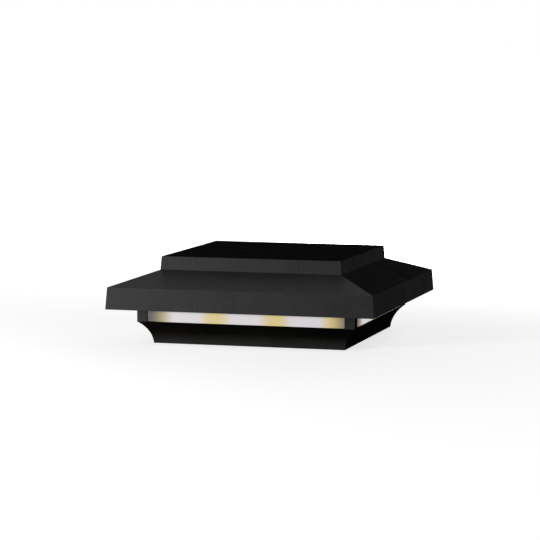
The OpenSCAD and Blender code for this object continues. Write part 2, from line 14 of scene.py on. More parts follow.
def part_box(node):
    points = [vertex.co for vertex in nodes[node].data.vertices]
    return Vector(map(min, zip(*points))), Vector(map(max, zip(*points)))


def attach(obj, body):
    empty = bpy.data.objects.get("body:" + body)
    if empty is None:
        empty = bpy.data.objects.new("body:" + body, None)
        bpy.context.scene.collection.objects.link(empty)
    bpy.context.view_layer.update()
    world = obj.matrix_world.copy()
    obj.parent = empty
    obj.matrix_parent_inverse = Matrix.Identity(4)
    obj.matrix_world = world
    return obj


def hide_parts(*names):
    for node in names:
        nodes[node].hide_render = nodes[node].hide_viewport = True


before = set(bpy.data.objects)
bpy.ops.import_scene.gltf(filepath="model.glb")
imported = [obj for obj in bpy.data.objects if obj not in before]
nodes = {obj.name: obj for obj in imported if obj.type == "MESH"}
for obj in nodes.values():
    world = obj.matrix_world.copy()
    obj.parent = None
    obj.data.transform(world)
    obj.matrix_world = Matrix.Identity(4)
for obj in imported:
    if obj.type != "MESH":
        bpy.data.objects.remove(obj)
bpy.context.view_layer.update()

MM = 0.001
TURN = 2 * math.pi
SIDES = ("front", "right", "rear", "left")
CORNERS = np.array([(-1, -1), (1, -1), (1, 1), (-1, 1)], float)
CREASE = math.radians(20)   # CAD nodes: the roof's hips bend by 28 degrees, the steps of curves by under 10
FOLD = math.radians(38)     # point grids: a wire's 14 columns step by 26 degrees


def span(name):
    """Lowest corner, highest corner and middle of a CAD node, in millimetres."""
    low, high = (np.array(corner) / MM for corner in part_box(name))
    return low, high, (low + high) / 2


# Places and heights that several pieces share, taken from the frame, with the width of an LED package and
# the radius of a wire
LED_LOW, LED_HIGH, LED_MID = span("leds_front")
LED_W = 3.5
LED_T = LED_HIGH[1] - LED_LOW[1]
LED_PITCH = LED_HIGH[0] - LED_W / 2
WINDOW_MID = LED_MID[2]
BOARD_FACE = -LED_HIGH[1]
BOARD_HALF = span("led_board_front")[1][0]
WIRE_R = 0.6
WIRE_LOW, WIRE_HIGH, _ = span("jumper_front_right")
WIRE_AT = WIRE_HIGH[0] - WIRE_R
FEED_LOW, FEED_HIGH, _ = span("feed_wires")
FEED_AT = (FEED_HIGH[0] - WIRE_R, FEED_LOW[0] + WIRE_R)
_, DRIVER_HIGH, DRIVER_MID = span("driver_board")
DRIVER_TOP = span("capacitors")[0][2]


# ---- colours and shader nodes ------------------------------------------------------------

def linear(code):
    """sRGB hex to linear RGBA: v / 12.92 below 0.04045, otherwise ((v + 0.055) / 1.055) ** 2.4."""
    parts = [int(code[i:i + 2], 16) / 255 for i in (1, 3, 5)]
    return tuple(v / 12.92 if v <= 0.04045 else ((v + 0.055) / 1.055) ** 2.4 for v in parts) + (1.0,)


def add(tree, kind, inputs=None, out=0, **settings):
    """Adds a node with its settings, links or sets each of its inputs, and gives the output asked for. A
    shader node's kind goes without its prefix."""
    node = tree.nodes.new(kind if "Node" in kind else "ShaderNode" + kind)
    for name, value in settings.items():
        setattr(node, name, value)
    for name, value in (inputs or {}).items():
        if isinstance(value, bpy.types.NodeSocket):
            tree.links.new(value, node.inputs[name])
        else:
            node.inputs[name].default_value = linear(value) if isinstance(value, str) else value
    return node.outputs[out] if len(node.outputs) else None


def material(name, recipe, *details):
    """A material from a recipe, which takes the tree and the piece's own coordinates and gives the shader's
    sockets."""
    made = bpy.data.materials.new(name)
    made.use_nodes = True
    tree = made.node_tree
    tree.nodes.clear()
    place = add(tree, "TexCoord", out="Object")
    shader = add(tree, "BsdfPrincipled", recipe(tree, place, *details))
    add(tree, "OutputMaterial", {"Surface": shader})
    return made


def per_metre(size):
    """Texture scale at which one feature of a pattern is the given millimetres wide."""
    return 1 / (size * MM)


def mottled(tree, place, dark, light, grain, depth, rough=(0.5, 0.6), shine=0.5, metal=0.0):
    """A moulded, cast or coated finish: two close tones and a relief, both on a grain of real size. Most of
    a noise lies between 0.38 and 0.62, so that range is stretched over the two tones."""
    fine = add(tree, "TexNoise", {"Vector": place, "Scale": per_metre(grain), "Detail": 3.0})
    broad = add(tree, "TexNoise", {"Vector": place, "Scale": per_metre(grain * 14), "Detail": 2.0})
    both = add(tree, "Mix", {"Factor": 0.5, "A": fine, "B": broad})
    tone = add(tree, "MapRange", {"Value": both, "From Min": 0.38, "From Max": 0.62})
    return {
        "Base Color": add(tree, "Mix", {"Factor": tone, "A": dark, "B": light}, "Result",
                          data_type="RGBA"),
        "Roughness": add(tree, "MapRange", {"Value": tone, "To Min": rough[0], "To Max": rough[1]}),
        "Normal": add(tree, "Bump", {"Height": fine, "Distance": depth * MM}),
        "Specular IOR Level": shine,
        "Metallic": metal,
    }


# ---- finishes ----------------------------------------------------------------------------

def powder_coat(tree, place, dark, light, gloss, full, none):
    """Satin black polyester powder coat on cast aluminium: a baked film whose fine peel hides its own far
    slopes, so the sheen is full face on and gone at a glance, where the flats go black. Full and none are
    the facings between which it goes, 0 face on and 1 edge on. The peel is about 0.5 mm; drawn at 1.1 mm
    to show."""
    glance = add(tree, "LayerWeight", {"Blend": 0.5}, "Facing")
    sheen = add(tree, "MapRange",
                {"Value": glance, "From Min": none, "From Max": full, "To Min": 0.0, "To Max": gloss},
                interpolation_type="SMOOTHSTEP")
    peel, peel_depth, satin = 1.1, 0.16, (0.42, 0.56)
    return mottled(tree, place, dark, light, peel, peel_depth, satin, sheen)


# The lit stretch of a lens: full to so far past its outer LEDs, dark from so far past them, and off the
# lens's middle by so much; the brim's shade sets in between two heights over the LEDs
LIT_TO, DARK_FROM, LIT_OFF_MIDDLE = 8.5, 25, 3.0
SHADE_FROM, SHADE_TO, SHADED = 0.7, 3.4, 0.35


def frosted_lens(tree, place, axis, shift):
    """Frosted polycarbonate, injection moulded and lit from behind: the blasted face spreads the light of
    each LED into a cool white patch, with the warm phosphor tone between patches, dark ends where the boards
    stop, and a dimmer top edge that the brim shades. The patches follow a cosine of one turn to a pitch of
    the LEDs along the lens. The lit stretch lies a little off the middle, towards the lens's right end. The
    blasting is about 0.1 mm; drawn at 0.5 mm so that it shows."""
    axes = add(tree, "SeparateXYZ", {"Vector": place}, slice(3))
    turns = add(tree, "Math", {0: axes[axis], 1: TURN / (LED_PITCH * MM)}, operation="MULTIPLY")
    wave = add(tree, "Math", {0: turns}, operation="COSINE")
    cool = add(tree, "MapRange", {"Value": wave, "From Min": -1.1, "From Max": 0.35},
               interpolation_type="SMOOTHSTEP")
    along = add(tree, "Math", {0: axes[axis], 1: shift * MM}, operation="SUBTRACT")
    reach = add(tree, "Math", {0: along}, operation="ABSOLUTE")
    end = add(tree, "MapRange",
              {"Value": reach, "From Min": (LED_PITCH + LIT_TO) * MM,
               "From Max": (LED_PITCH + DARK_FROM) * MM, "To Min": 1.0, "To Max": 0.0},
              interpolation_type="SMOOTHSTEP")
    shade = add(tree, "MapRange",
                {"Value": axes[2], "From Min": (WINDOW_MID + SHADE_FROM) * MM,
                 "From Max": (WINDOW_MID + SHADE_TO) * MM, "To Min": 1.0, "To Max": SHADED},
                interpolation_type="SMOOTHSTEP")
    frost = add(tree, "TexNoise", {"Vector": place, "Scale": per_metre(0.5), "Detail": 2.0})
    grain = add(tree, "MapRange", {"Value": frost, "To Min": 0.84, "To Max": 1.0})
    level = add(tree, "Math", {0: end, 1: shade}, operation="MULTIPLY")
    # painted shade: the lens's base colour goes from grey to near black past the outer LEDs, where nothing
    # lights it from behind
    body = add(tree, "Math", {0: end, 1: grain}, operation="MULTIPLY")
    return {
        "Base Color": add(tree, "Mix", {"Factor": body, "A": "#17120c", "B": "#55534c"}, "Result",
                          data_type="RGBA"),
        "Emission Color": add(tree, "Mix", {"Factor": cool, "A": "#c6b066", "B": "#c6c2c8"}, "Result",
                              data_type="RGBA"),
        "Emission Strength": add(tree, "Math", {0: level, 1: grain}, operation="MULTIPLY"),
        "Normal": add(tree, "Bump", {"Height": frost, "Distance": 0.01 * MM}),
        "Roughness": 0.55,
        "IOR": 1.58,
    }


def rolled_aluminium(tree, place):
    """Mill-finish aluminium sheet: the rolling leaves fine straight lines along X, so the sheen is
    drawn out across them. The lines are about 0.05 mm apart; drawn at 0.25 mm to show."""
    drawn = add(tree, "Mapping", {"Vector": place, "Scale": (0.03, 1.0, 1.0)})
    lines = add(tree, "TexNoise", {"Vector": drawn, "Scale": per_metre(0.25), "Detail": 4.0})
    stain = add(tree, "TexNoise", {"Vector": place, "Scale": per_metre(18), "Detail": 3.0})
    tone = add(tree, "Mix", {"Factor": 0.5, "A": lines, "B": stain})
    return {
        "Base Color": add(tree, "Mix", {"Factor": tone, "A": "#9b9ea2", "B": "#c6c8ca"}, "Result",
                          data_type="RGBA"),
        "Roughness": add(tree, "MapRange", {"Value": tone, "To Min": 0.28, "To Max": 0.5}),
        "Normal": add(tree, "Bump", {"Height": lines, "Distance": 0.004 * MM}),
        "Metallic": 1.0,
    }


def turned_metal(tree, place, dark, light, rough):
    """Cold-headed or turned metal: fine tool marks and a little handling haze. The marks are about 0.1 mm;
    drawn at 0.35 mm to show."""
    return mottled(tree, place, dark, light, 0.35, 0.003, rough, metal=1.0)


# LED boards: the track's edge slopes between these distances from the middle line; what stands out of the
# face is tin, and what lies under the mask is the core
TRACK_HALF, TRACK_FOOT = 2.3, 2.6
TIN_OVER, CORE_UNDER = 0.06, 0.12


def white_mask(tree, place, out_axis):
    """White solder mask over copper on an aluminium core: the buried tracks between the LEDs stand as
    faint broad bands, the core's sawn back is bare, and the solder lands are bright tin."""
    axes = add(tree, "SeparateXYZ", {"Vector": place}, slice(3))
    out = add(tree, "Math", {0: axes[out_axis]}, operation="ABSOLUTE")
    height = add(tree, "Math", {0: axes[2], 1: WINDOW_MID * MM}, operation="SUBTRACT")
    rise = add(tree, "Math", {0: height}, operation="ABSOLUTE")
    track = add(tree, "MapRange",
                {"Value": rise, "From Min": TRACK_HALF * MM, "From Max": TRACK_FOOT * MM,
                 "To Min": 1.0, "To Max": 0.0})
    tin = add(tree, "Math", {0: out, 1: (BOARD_FACE + TIN_OVER) * MM}, operation="GREATER_THAN")
    core = add(tree, "Math", {0: out, 1: (BOARD_FACE - CORE_UNDER) * MM}, operation="LESS_THAN")
    bare = add(tree, "Math", {0: tin, 1: core}, operation="MAXIMUM")
    mask = add(tree, "Mix", {"Factor": track, "A": "#cfd1cb", "B": "#e3e4de"}, "Result",
               data_type="RGBA")
    return {
        "Base Color": add(tree, "Mix", {"Factor": bare, "A": mask, "B": "#b1b3b6"}, "Result",
                          data_type="RGBA"),
        "Metallic": bare,
        "Roughness": add(tree, "MapRange", {"Value": bare, "To Min": 0.3, "To Max": 0.38}),
        "Normal": add(tree, "Bump", {"Height": track, "Distance": 0.03 * MM}),
        "IOR": 1.5,
    }


def green_mask(tree, place):
    """Green solder mask on glass-fibre board: tracks of 0.4 mm show as paler raised lines, which run on a
    stepped grid of 8.9 by 1.27 mm and stop here and there, and the sawn edge, the outermost 0.04 mm, shows
    the straw-coloured laminate."""
    steps = add(tree, "TexBrick",
                {"Vector": place, "Scale": 1.0, "Brick Width": 8.9 * MM, "Row Height": 1.27 * MM,
                 "Mortar Size": 0.22 * MM, "Mortar Smooth": 0.3, "Bias": 0.0},
                "Fac", offset=0.37, squash=1.0)
    areas = add(tree, "TexNoise", {"Vector": place, "Scale": per_metre(7), "Detail": 1.0})
    routed = add(tree, "MapRange", {"Value": areas, "From Min": 0.5, "From Max": 0.53})
    tracks = add(tree, "Math", {0: steps, 1: routed}, operation="MULTIPLY")
    weave = add(tree, "TexNoise", {"Vector": place, "Scale": per_metre(0.6), "Detail": 2.0})
    ground = add(tree, "Mix", {"Factor": weave, "A": "#0d4a2b", "B": "#12583a"}, "Result",
                 data_type="RGBA")
    face = add(tree, "Mix", {"Factor": tracks, "A": ground, "B": "#2f7d4c"}, "Result",
               data_type="RGBA")
    from_middle = add(tree, "VectorMath", {0: place, 1: tuple(DRIVER_MID * MM)}, operation="SUBTRACT")
    reach = add(tree, "VectorMath", {0: from_middle}, operation="ABSOLUTE")
    axes = add(tree, "SeparateXYZ", {"Vector": reach}, slice(2))
    inner = (DRIVER_HIGH - DRIVER_MID - 0.04) * MM
    cut = [add(tree, "Math", {0: axes[i], 1: inner[i]}, operation="GREATER_THAN") for i in (0, 1)]
    edge = add(tree, "Math", {0: cut[0], 1: cut[1]}, operation="MAXIMUM")
    return {
        "Base Color": add(tree, "Mix", {"Factor": edge, "A": face, "B": "#9a8a55"}, "Result",
                          data_type="RGBA"),
        "Roughness": add(tree, "MapRange", {"Value": tracks, "To Min": 0.34, "To Max": 0.26}),
        "Normal": add(tree, "Bump", {"Height": tracks, "Distance": 0.04 * MM}),
        "IOR": 1.5,
    }


def insulation(tree, place):
    """Extruded PVC insulation, smooth and slightly waxy: a pair's first strand is black, its second red."""
    strand = add(tree, "Attribute", out="Fac", attribute_name="strand")
    haze = add(tree, "TexNoise", {"Vector": place, "Scale": per_metre(0.4), "Detail": 2.0})
    black = add(tree, "Mix", {"Factor": haze, "A": "#1a1a1b", "B": "#29292a"}, "Result",
                data_type="RGBA")
    red = add(tree, "Mix", {"Factor": haze, "A": "#8e1c16", "B": "#b02a20"}, "Result",
              data_type="RGBA")
    return {
        "Base Color": add(tree, "Mix", {"Factor": strand, "A": black, "B": red}, "Result",
                          data_type="RGBA"),
        "Normal": add(tree, "Bump", {"Height": haze, "Distance": 0.01 * MM}),
        "Roughness": 0.38,
        "IOR": 1.53,
    }


def capacitor_sleeve(tree, place):
    """Dark blue PVC shrink sleeve with the pale stripe that marks the negative lead; the can's rolled
    aluminium top is bare. The piece's own UV map gives round (U) and up (V): the stripe lies within 0.07 of
    0.62 round, and the bare top starts at 0.8 up."""
    uv = add(tree, "UVMap", uv_map="surface")
    round_it, up_it = add(tree, "SeparateXYZ", {"Vector": uv}, slice(2))
    stripe = add(tree, "Math", {0: round_it, 1: 0.62, 2: 0.07}, operation="COMPARE")
    top = add(tree, "Math", {0: up_it, 1: 0.8}, operation="GREATER_THAN")
    grain = add(tree, "TexNoise", {"Vector": place, "Scale": per_metre(0.5), "Detail": 2.0})
    blue = add(tree, "Mix", {"Factor": grain, "A": "#16213f", "B": "#1d2b52"}, "Result",
               data_type="RGBA")
    sleeve = add(tree, "Mix", {"Factor": stripe, "A": blue, "B": "#a9b2bd"}, "Result",
                 data_type="RGBA")
    return {
        "Base Color": add(tree, "Mix", {"Factor": top, "A": sleeve, "B": "#b4b7ba"}, "Result",
                          data_type="RGBA"),
        "Metallic": top,
        "Roughness": add(tree, "MapRange", {"Value": top, "To Min": 0.28, "To Max": 0.4}),
        "Normal": add(tree, "Bump", {"Height": grain, "Distance": 0.006 * MM}),
        "IOR": 1.5,
    }


def phosphor(tree, place):
    """Cast silicone with yellow phosphor powder, lit: warm and a little uneven."""
    powder = add(tree, "TexNoise", {"Vector": place, "Scale": per_metre(0.3), "Detail": 2.0})
    return {
        "Base Color": add(tree, "Mix", {"Factor": powder, "A": "#c9a24a", "B": "#dcbc62"}, "Result",
                          data_type="RGBA"),
        "Emission Color": add(tree, "Mix", {"Factor": powder, "A": "#e8cf86", "B": "#f4e6b4"},
                              "Result", data_type="RGBA"),
        "Emission Strength": 0.9,
        "Roughness": 0.4,
    }


# Coats: dark and light tone, gloss, and the facings at which the sheen is full and gone
COAT_CAP = material("powder_coat_cap", powder_coat, "#262628", "#303031", 0.06, 0.52, 0.68)
# The base is the cap's same powder coat painted much darker: painted shade for the cove under the brim's
# overhang
COAT_BASE_PAINTED_SHADE = material("powder_coat_base", powder_coat, "#0a0908", "#12110f", 0.14, 0.03, 0.25)
LENS = [material(f"frosted_polycarbonate_{side}", frosted_lens, number % 2,
                 LIT_OFF_MIDDLE if number < 2 else -LIT_OFF_MIDDLE)
        for number, side in enumerate(SIDES)]
SHEET = material("mill_finish_aluminium", rolled_aluminium)
# Stainless steel, cold headed: pale and slightly warm, satin from tumbling
STEEL = material("stainless_steel", turned_metal, "#a3a5a7", "#c2c3c4", (0.26, 0.4))
# Brass, turned from hexagon bar: yellow, bright on the flats
BRASS = material("turned_brass", turned_metal, "#b59a58", "#cdb472", (0.24, 0.36))
# Tinned clamp steel inside the terminals
TIN = material("tin_plate", turned_metal, "#a9abac", "#c4c5c6", (0.3, 0.42))
# Solder: bright tin alloy with a frozen, slightly wrinkled skin
SOLDER = material("solder", turned_metal, "#aeb0b1", "#cfd0d0", (0.18, 0.34))
# Enamelled copper wire: amber over copper, glossy
ENAMEL = material("enamelled_copper", turned_metal, "#a4592c", "#c4763f", (0.2, 0.3))
# Silicone, moulded black: dull with a faint bloom
SILICONE = material("black_silicone", mottled, "#232324", "#2f2f30", 0.6, 0.01, (0.55, 0.68), 0.4)
# Nitrile rubber, moulded black: dull, finely pitted
RUBBER = material("nitrile_rubber", mottled, "#1d1d1e", "#282829", 0.5, 0.015, (0.62, 0.78), 0.35)
# Closed-cell foam, die cut: cells of about 0.4 mm give a dark pitted edge
FOAM = material("closed_cell_foam", mottled, "#161617", "#2a2a2b", 0.4, 0.08, (0.85, 0.95), 0.2)
# Natural nylon, moulded: milky and slightly waxy
NYLON = material("natural_nylon", mottled, "#cfcab9", "#ddd9cb", 0.8, 0.006, (0.35, 0.45))
# Thermal silicone sheet, calendered grey-blue: matt, full of fine filler
THERMAL = material("thermal_silicone", mottled, "#7c858e", "#8d969e", 0.3, 0.01, (0.8, 0.9))
# Epoxy moulding compound: black, with a fine blasted grain from its mould
EPOXY = material("epoxy_moulding_compound", mottled, "#1b1b1c", "#262627", 0.2, 0.006, (0.5, 0.62))
# Sintered ferrite: dark grey ceramic with tiny chips
FERRITE = material("sintered_ferrite", mottled, "#2b2b2d", "#3b3b3d", 0.25, 0.012, (0.6, 0.75))
# Green nylon of the terminal block, glass filled: satin with faint flow marks
GREEN_NYLON = material("glass_filled_nylon", mottled, "#27663f", "#31784c", 0.7, 0.008, (0.42, 0.52))
# White polyphthalamide of the LED packages: chalky
PACKAGE = material("white_polyphthalamide", mottled, "#dcdcd4", "#e8e8e2", 0.2, 0.004, (0.5, 0.6))
# Alumina of the chip resistors under a dark glass print: black top, pale ends come from the solder
RESISTOR = material("glazed_alumina", mottled, "#1c1d22", "#2a2b31", 0.2, 0.004, (0.3, 0.4))
BOARD_WHITE = [material(f"white_solder_mask_{axis}", white_mask, 1 - i) for i, axis in enumerate("xy")]
BOARD_GREEN = material("green_solder_mask", green_mask)
PVC = material("pvc_insulation", insulation)
SLEEVE = material("shrink_sleeve_on_aluminium", capacitor_sleeve)
PHOSPHOR = material("phosphor_silicone", phosphor)


# ---- surfaces as point grids -------------------------------------------------------------

def capped(rows):
    """Adds a row at each end with all its points at that end row's middle, so the ends close."""
    first, last = rows[:1].mean(1, keepdims=True), rows[-1:].mean(1, keepdims=True)
    wide = np.ones((1, rows.shape[1], 1))
    return np.concatenate([first * wide, rows, last * wide])


def lofted(table, count=6):
    """Rows of (half x, half y, corner radius, z) as rounded rectangles: each outline is four quarter circles
    of the corner radius about (+-(half x - corner), +-(half y - corner)), and the ends are closed."""
    half_x, half_y, corner, z = (np.array(column, float)[:, None] for column in zip(*table))
    angle = (np.arange(4)[:, None] + np.linspace(0, 1, count)).ravel() * math.pi / 2
    sign_x = np.repeat([1, -1, -1, 1], count)
    sign_y = np.repeat([1, 1, -1, -1], count)
    x = sign_x * (half_x - corner) + corner * np.cos(angle)
    y = sign_y * (half_y - corner) + corner * np.sin(angle)
    return capped(np.stack([x, y, z + 0 * x], -1))


def revolved(profile, count=48, close=True):
    """Profile of (radius, z) points turned about Z: (r cos a, r sin a, z)."""
    r, z = (np.array(column, float)[:, None] for column in zip(*profile))
    angle = np.arange(count) / count * TURN
    rows = np.stack([r * np.cos(angle), r * np.sin(angle), z + 0 * angle], -1)
    return capped(rows) if close else rows


def carried(outline, path, across, closed=False):
    """An outline carried along a path: point = path + u (t x across) + v (t x (t x across)), where t is the
    path's direction by central differences."""
    path = np.asarray(path, float)
    ahead = np.roll(path, -1, 0) - np.roll(path, 1, 0) if closed else np.gradient(path, axis=0)
    ahead /= np.linalg.norm(ahead, axis=1, keepdims=True)
    aside = np.cross(ahead, across)
    aside /= np.linalg.norm(aside, axis=1, keepdims=True)
    up = np.cross(ahead, aside)
    u, v = np.asarray(outline, float).T[:, None, :, None]
    rows = path[:, None] + u * aside[:, None] + v * up[:, None]
    return rows if closed else capped(rows)


def circle(radius, count=14):
    """Outline points (r cos a, r sin a)."""
    angle = np.arange(count) / count * TURN
    return radius * np.stack([np.cos(angle), np.sin(angle)], -1)


def arc(centre, radius, start, stop, count, plane):
    """Points centre + radius (cos a, sin a) laid on two of the three axes."""
    angle = np.radians(np.linspace(start, stop, count))
    points = np.tile(np.array(centre, float), (count, 1))
    points[:, plane[0]] += radius * np.cos(angle)
    points[:, plane[1]] += radius * np.sin(angle)
    return points


def screw(shank_r, length, head_r, head_h, pitch, arms=4):
    """Pan-head screw, shank up from 0 and head below it. Head rows run from the driver's recess, whose rim
    is min(reach / cos a, width / |sin a|) folded to each arm, out to the round edge; the crown falls by
    0.22 r^2 of the head's height, and the recess is half that height deep. The thread's radius is shank_r
    less a triangle wave of (z / pitch - a / turn), in 8 rows to a pitch, which makes it one helix that fades
    at its ends, and the tip is a cone. Reach, width, edge and r are in head radii: a cross with four arms, a
    slot with two."""
    reach, width = (0.52, 0.14) if arms == 4 else (0.8, 0.16)
    fold = TURN / arms
    corner = math.atan(width / reach)
    inner = np.linspace(-corner, corner, 4)
    outer = np.linspace(corner, fold - corner, 36 // arms)[1:-1]
    angle = (np.arange(arms)[:, None] * fold + np.concatenate([inner, outer])).ravel()
    folded = (angle + fold / 2) % fold - fold / 2
    rim = np.minimum(reach / np.cos(folded), width / np.maximum(np.abs(np.sin(folded)), 1e-6))
    edge = 0.84
    spread = np.linspace(0, 1, 5)[:, None]
    radii = [0.6 * rim, rim, *(rim + (edge - rim) * spread[1:])]

    def crown(r):
        return -head_h * (1 - 0.22 * r ** 2)

    heights = [crown(0 * rim) + 0.5 * head_h, *(crown(r) for r in radii[1:])]
    turn = np.linspace(0, math.pi / 2, 5)[1:]
    radii += [edge + (1 - edge) * np.sin(t) + 0 * rim for t in turn]
    low = crown(edge)
    heights += [low + (-0.5 * head_h - low) * (1 - np.cos(t)) + 0 * rim for t in turn]
    radii += [1 + 0 * rim, 0.98 + 0 * rim]
    heights += [-0.1 * head_h + 0 * rim, 0 * rim]
    radii = np.array(radii) * head_r
    head = np.stack([radii * np.cos(angle), radii * np.sin(angle), np.array(heights)], -1)
    cone_z = length - 0.4 * shank_r
    z = np.linspace(0, cone_z, int(cone_z / pitch * 8) + 1)[:, None]
    wave = np.abs((z / pitch - angle / TURN) % 1 * 2 - 1)
    fade = np.clip(np.minimum(z / (0.6 * pitch), (cone_z - z) / (1.2 * pitch)), 0, 1)
    r = shank_r - 0.58 * pitch * (1 - fade * (1 - wave))
    r, z = np.concatenate([r, 0.55 * r[-1:]]), np.concatenate([z, [[length]]])
    shank = np.stack([r * np.cos(angle), r * np.sin(angle), z + 0 * angle], -1)
    return capped(np.concatenate([head, shank]))


# ---- putting grids into place and into meshes --------------------------------------------

def quarter(side):
    """Turn about Z that brings the front (-Y) side's pieces to the given side."""
    c, s = ((1, 0), (0, 1), (-1, 0), (0, -1))[side]
    return np.array([(c, -s, 0), (s, c, 0), (0, 0, 1)], float)


UPRIGHT = np.eye(3)
HEAD_UP = np.diag([1.0, -1.0, -1.0])                              # shank down, head up
INWARD = np.array([(1, 0, 0), (0, 0, 1), (0, -1, 0)], float)      # local Z becomes +Y, into the front side
OUTWARD = np.array([(1, 0, 0), (0, 0, -1), (0, 1, 0)], float)     # local Z becomes -Y, out of the front side


def put(grid, at, turn=UPRIGHT):
    """The grid turned, then moved by one offset in millimetres."""
    return grid @ turn.T + np.asarray(at, float)


def on_side(grid, side):
    """A grid made at the front, brought to the given side."""
    return grid @ quarter(side).T


def piece(name, grids, made_of, stands_for=(), looped=False):
    """One mesh of closed point grids (rows, columns, 3) that rides on the base: each cell is a quad, columns
    run round, and rows run round too where looped. Doubles are merged, which closes poles and seams, and
    faces turned outwards. The attribute strand numbers the grids."""
    points, faces, uvs, strands, start = [], [], [], [], 0
    for number, grid in enumerate(grids):
        rows, columns = grid.shape[:2]
        index = start + np.arange(rows * columns).reshape(rows, columns)
        below = np.concatenate([index, index[:1]]) if looped else index
        right = np.roll(below, -1, 1)
        faces.append(np.stack([below[:-1], right[:-1], right[1:], below[1:]], -1).reshape(-1, 4))
        v, u = np.meshgrid(np.arange(len(below)) / (len(below) - 1), np.arange(columns + 1) / columns,
                           indexing="ij")
        uv = np.stack([u, v], -1)
        uvs.append(np.stack([uv[:-1, :-1], uv[:-1, 1:], uv[1:, 1:], uv[1:, :-1]], 2).reshape(-1, 2))
        points.append(grid.reshape(-1, 3))
        strands.append(np.full(rows * columns, float(number)))
        start += rows * columns
    mesh = bpy.data.meshes.new(name)
    mesh.from_pydata(np.concatenate(points) * MM, [], np.concatenate(faces))
    mesh.uv_layers.new(name="surface").data.foreach_set("uv", np.concatenate(uvs).ravel())
    mesh.attributes.new("strand", "FLOAT", "POINT").data.foreach_set("value", np.concatenate(strands))
    work = bmesh.new()
    work.from_mesh(mesh)
    bmesh.ops.remove_doubles(work, verts=work.verts, dist=0.001 * MM)
    bmesh.ops.recalc_face_normals(work, faces=work.faces)
    work.to_mesh(mesh)
    work.free()
    mesh.polygons.foreach_set("use_smooth", np.ones(len(mesh.polygons), bool))
    mesh.set_sharp_from_angle(angle=FOLD)
    mesh.materials.append(made_of)
    made = bpy.data.objects.new(name, mesh)
    bpy.context.scene.collection.objects.link(made)
    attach(made, "base")
    if stands_for:
        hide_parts(*stands_for)


def soft_shading():
    """Geometry nodes that shade a solid smooth and keep every crease sharp."""
    tree = bpy.data.node_groups.new("shade_by_angle", "GeometryNodeTree")
    for way in ("INPUT", "OUTPUT"):
        tree.interface.new_socket("Geometry", in_out=way, socket_type="NodeSocketGeometry")
    start = add(tree, "NodeGroupInput")
    smooth = add(tree, "GeometryNodeSetShadeSmooth", {"Geometry": start, "Shade Smooth": True})
    angle = add(tree, "GeometryNodeInputMeshEdgeAngle", out="Unsigned Angle")
    sharp = add(tree, "FunctionNodeCompare", {"A": angle, "B": CREASE}, operation="GREATER_THAN")
    edges = add(tree, "GeometryNodeSetShadeSmooth",
                {"Geometry": smooth, "Selection": sharp, "Shade Smooth": False}, domain="EDGE")
    add(tree, "NodeGroupOutput", {"Geometry": edges})
    return tree


SHADING = soft_shading()


def dressed(name, made_of, ease):
    """A CAD node that keeps its shape: its finish, and edges eased by a bevel of the given millimetres."""
    node = nodes[name]
    node.data.materials.clear()
    node.data.materials.append(made_of)
    weld = node.modifiers.new("weld", "WELD")
    weld.merge_threshold = 0.002 * MM
    flat = node.modifiers.new("flat", "DECIMATE")
    flat.decimate_type = "DISSOLVE"
    flat.angle_limit = math.radians(0.6)
    bevel = node.modifiers.new("eased", "BEVEL")
    bevel.width = ease * MM
    bevel.segments = 2
    bevel.limit_method = "ANGLE"
    bevel.angle_limit = CREASE
    node.modifiers.new("shading", "NODES").node_group = SHADING
    node.modifiers.new("flat_faces", "WEIGHTED_NORMAL").keep_sharp = True


# ---- castings, seals and lenses ----------------------------------------------------------

dressed("top_cap", COAT_CAP, 0.45)
# the base casting takes the coat with painted shade in its colour
dressed("base_casting", COAT_BASE_PAINTED_SHADE, 0.25)
for number, side_name in enumerate(SIDES):
    dressed(f"lens_{side_name}", LENS[number], 0.3)
    dressed(f"lens_seal_{side_name}", FOAM, 0.1)
    dressed(f"thermal_pad_{side_name}", THERMAL, 0.1)
    dressed(f"led_board_{side_name}", BOARD_WHITE[number % 2], 0.12)
dressed("deck_plate", SHEET, 0.2)
dressed("standoffs", BRASS, 0.2)
dressed("screw_retainers", NYLON, 0.15)
dressed("driver_board", BOARD_GREEN, 0.1)
dressed("terminal_block", GREEN_NYLON, 0.25)


def lid_seal():
    """Weather seal: a flat foot with a round bulb on top, carried round a square with rounded corners."""
    low, high, _ = span("lid_seal")
    half_w, bulb_r, corner = 1.3, 0.95, 1.9
    bulb_up = high[2] - low[2] - bulb_r
    bulb = np.linspace(0, math.pi, 9)
    outline = np.concatenate([[(0.08 - half_w, 0.0), (half_w - 0.08, 0.0), (half_w, 0.1), (half_w, 0.85),
                               (half_w - 0.1, 0.95)],
                              np.stack([bulb_r * np.cos(bulb), bulb_up + bulb_r * np.sin(bulb)], -1),
                              [(0.1 - half_w, 0.95), (-half_w, 0.85), (-half_w, 0.1)]])
    reach = high[0] - half_w - corner
    path = np.concatenate([arc((x * reach, y * reach, low[2]), corner, 180 + 90 * i, 270 + 90 * i, 8, (0, 1))
                           for i, (x, y) in enumerate(CORNERS)])
    grid = carried(outline * (1, -1), path, (0, 0, 1), closed=True)
    piece("lid_seal_bulb", [grid], SILICONE, ["lid_seal"], looped=True)


lid_seal()


# ---- screws ------------------------------------------------------------------------------

# Sizes of the screws: shank radius, length, head radius, head height and thread pitch
CAP_SCREW = (1.75, 7.5, 3.5, 2.2, 0.6)
DECK_SCREW = (1.25, 6, 2.3, 1.5, 0.45)
DRIVER_SCREW = (1.25, 3.6, 2.3, 1.5, 0.45)
BOARD_SCREW = (1.0, 4, 1.9, 1.2, 0.4)
TERMINAL_SCREW = (1.3, 0.9, 1.65, 1.1, 0.45)
BOARD_SCREW_AT = BOARD_HALF - 8


